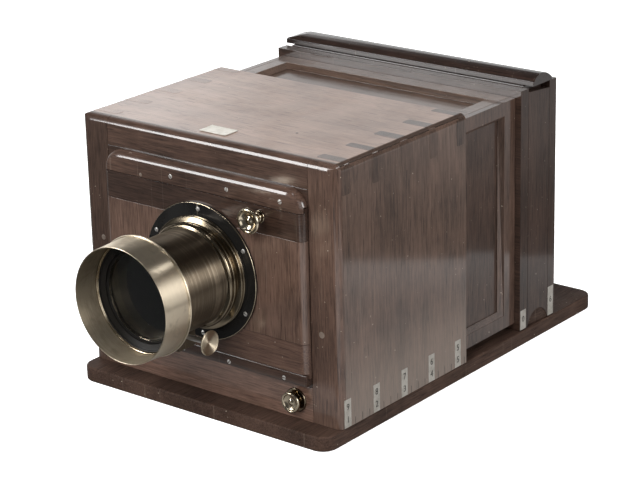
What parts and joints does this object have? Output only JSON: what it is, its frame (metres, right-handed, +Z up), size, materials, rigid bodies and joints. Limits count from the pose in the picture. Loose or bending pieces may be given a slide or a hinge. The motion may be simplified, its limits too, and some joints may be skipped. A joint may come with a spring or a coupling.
{
  "type": "sliding-box plate camera",
  "caption": "Wooden sliding-box plate camera with a brass rack-focus lens on a sliding lens board and a lift-out focusing screen.",
  "frame": {"origin": "middle of the baseboard's underside", "axes": "-Y where the lens looks, +X to the right seen from the front, +Z up"},
  "size_m": [0.1792, 0.3206, 0.1609],
  "materials": {
    "mahogany_dark": "french-polished dark mahogany",
    "mahogany": "polished mid-tone mahogany",
    "mahogany_light": "polished faded mahogany",
    "brass_bright": "worn bare brass",
    "brass_lacquered": "brass under worn brown lacquer",
    "black_lacquer": "glossy black lacquer on brass",
    "screw_steel": "dull steel",
    "clear_glass": "polished optical glass",
    "ground_glass": "ground to a matt surface",
    "label_paper": "plain aged paper"
  },
  "bodies": {
    "base": {"baseboard": "mahogany_dark", "outer_top": "mahogany_light", "outer_side_left": "mahogany", "outer_side_right": "mahogany", "outer_floor": "mahogany", "front_stile_left": "mahogany_dark", "front_stile_right": "mahogany_dark", "front_top_rail": "mahogany_dark", "front_bottom_rail": "mahogany_light", "front_board": "mahogany", "upper_bar": "mahogany_dark", "lower_bar": "mahogany_dark", "front_thumbscrew_washer": "brass_bright", "top_label": "label_paper"},
    "lens_panel": {"lens_board": "mahogany_light", "board_clamp_upper": "mahogany_dark", "board_clamp_lower": "mahogany_dark", "lens_flange": "black_lacquer", "flange_screw_1": "screw_steel", "flange_screw_2": "screw_steel", "flange_screw_3": "screw_steel", "flange_screw_4": "screw_steel", "flange_screw_5": "screw_steel", "flange_screw_6": "screw_steel", "lens_sleeve": "brass_lacquered", "pinion_box": "brass_lacquered", "board_thumbscrew_washer": "brass_bright"},
    "lens_barrel": {"lens_tube": "brass_lacquered", "focus_rack": "brass_bright", "front_cell": "brass_bright", "front_glass": "clear_glass", "glass_retainer": "brass_bright", "rear_cell": "brass_lacquered", "rear_glass": "clear_glass"},
    "pinion": {"focus_pinion": "screw_steel", "focus_knob": "brass_bright"},
    "hood": {"lens_hood": "brass_bright"},
    "board_screw": {"board_thumbscrew": "brass_bright"},
    "front_screw": {"front_thumbscrew": "brass_bright"},
    "rear_box": {"inner_top_frame": "mahogany", "inner_top_panel": "mahogany_light", "inner_floor_frame": "mahogany", "inner_floor_panel": "mahogany_light", "inner_left_frame": "mahogany", "inner_left_panel": "mahogany_light", "inner_right_frame": "mahogany", "inner_right_panel": "mahogany_light", "rear_front_board": "mahogany_dark", "rear_side_left": "mahogany", "rear_side_right": "mahogany", "rear_floor": "mahogany", "rear_back_frame": "mahogany"},
    "screen": {"screen_frame": "mahogany_dark", "ground_glass": "ground_glass", "glass_bead": "mahogany_dark", "screen_cap": "mahogany_dark"}
  },
  "joints": [
    {"name": "lens_board_slide", "type": "slide", "parent": "base", "child": "lens_panel", "axis": [1, 0, 0], "range_m": [-0.012, 0.012]},
    {"name": "lens_focus", "type": "slide", "parent": "lens_panel", "child": "lens_barrel", "axis": [0, -1, 0], "range_m": [0, 0.02]},
    {"name": "pinion_spin", "type": "hinge", "parent": "lens_panel", "child": "pinion", "pos_m": [0, -0.1438, 0.0516], "axis": [1, 0, 0], "range_deg": [0, 286.5]},
    {"name": "hood_pull", "type": "slide", "parent": "lens_barrel", "child": "hood", "axis": [0, -1, 0], "range_m": [0, 0.018]},
    {"name": "board_screw_turn", "type": "hinge", "parent": "lens_panel", "child": "board_screw", "pos_m": [0.0417, -0.13, 0.121], "axis": [0, -1, 0], "range_deg": [0, 360]},
    {"name": "front_screw_turn", "type": "hinge", "parent": "base", "child": "front_screw", "pos_m": [0.0588, -0.121, 0.0196], "axis": [0, -1, 0], "range_deg": [0, 360]},
    {"name": "box_slide", "type": "slide", "parent": "base", "child": "rear_box", "axis": [0, 1, 0], "range_m": [-0.055, 0.04]},
    {"name": "screen_lift", "type": "slide", "parent": "rear_box", "child": "screen", "axis": [0, 0, 1], "range_m": [0, 0.12]}
  ],
  "couplings": [
    {"joint": "pinion_spin", "follows": "lens_focus", "rad_per_m": 250}
  ]
}
